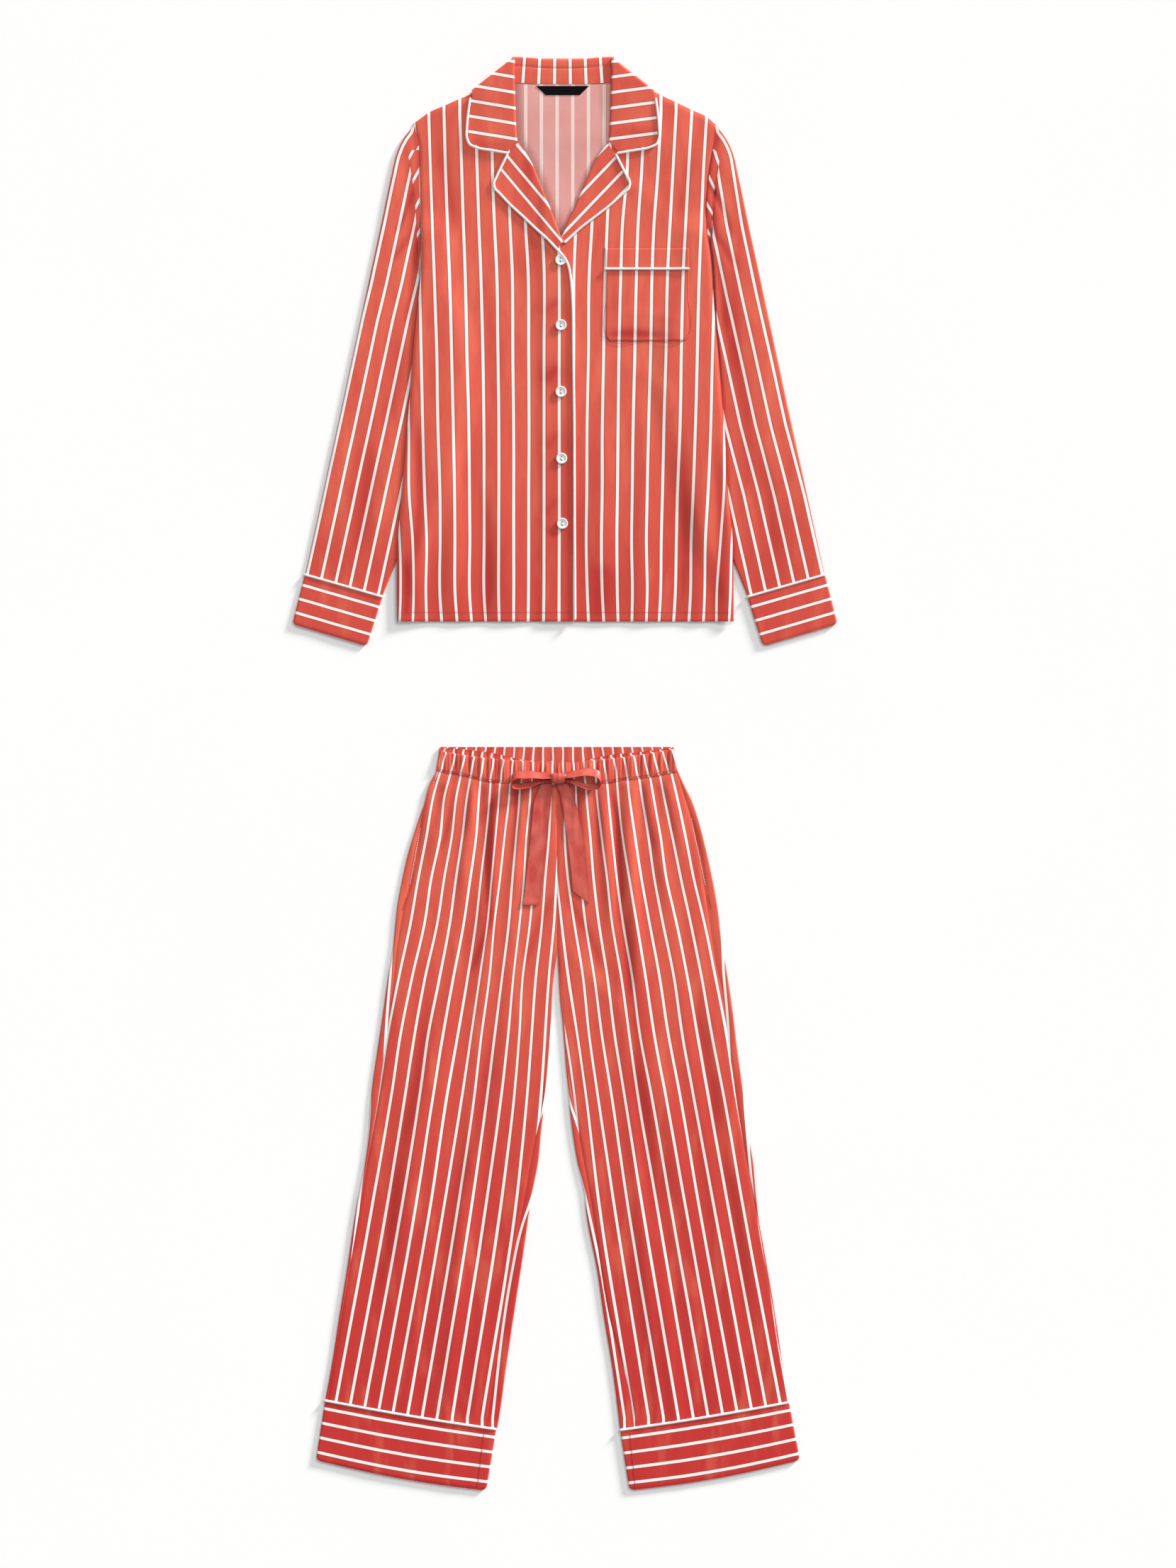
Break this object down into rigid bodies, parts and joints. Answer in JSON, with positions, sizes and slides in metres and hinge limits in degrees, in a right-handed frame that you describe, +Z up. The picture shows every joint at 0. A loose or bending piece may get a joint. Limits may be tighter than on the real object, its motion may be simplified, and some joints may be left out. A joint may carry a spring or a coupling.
{
  "type": "pyjama set laid flat",
  "caption": "Long-sleeved button-front pyjama shirt with notched collar and chest pocket, and long trousers with a ribbon bow, laid flat one above the other.",
  "frame": {"origin": "on the surface the set lies on, under the middle of its outline", "axes": "+X to the right of the laid set as seen from above (the wearer's left), +Y towards the collar, +Z up from the surface"},
  "size_m": [0.7076, 1.859, 0.0145],
  "materials": {
    "cloth": "orange-red cotton sateen with thin white stripes and a soft sheen",
    "cloth_back": "the same striped cotton, whose paler wrong side shows inside the neck",
    "piping": "white satin-bound piping",
    "ribbon": "plain orange-red satin ribbon",
    "button": "white, softly polished, with two holes",
    "label": "black woven tape, bare"
  },
  "bodies": {
    "root": {"shirt_back": "cloth_back", "shirt_front_right": "cloth", "shirt_front_left": "cloth", "collar": "cloth", "lapel_right": "cloth", "lapel_left": "cloth", "sleeve_right": "cloth", "sleeve_left": "cloth", "sleeve_cuff_right": "cloth", "sleeve_cuff_left": "cloth", "sleeve_cuff_right_piping": "piping", "sleeve_cuff_left_piping": "piping", "pocket": "cloth", "pocket_band": "cloth", "pocket_piping": "piping", "neck_label": "label", "collar_piping_right": "piping", "collar_piping_left": "piping", "lapel_piping_right": "piping", "lapel_piping_left": "piping", "front_edge_piping": "piping", "button_1": "button", "button_2": "button", "button_3": "button", "button_4": "button", "button_5": "button", "trouser_back_right": "cloth", "trouser_back_left": "cloth", "trouser_front_right": "cloth", "trouser_front_left": "cloth", "waistband": "cloth", "leg_cuff_right": "cloth", "leg_cuff_left": "cloth", "leg_cuff_right_piping": "piping", "leg_cuff_left_piping": "piping", "ribbon_knot": "ribbon", "ribbon_loop_right": "ribbon", "ribbon_loop_left": "ribbon", "ribbon_tail_right": "ribbon", "ribbon_tail_left": "ribbon"}
  },
  "joints": []
}
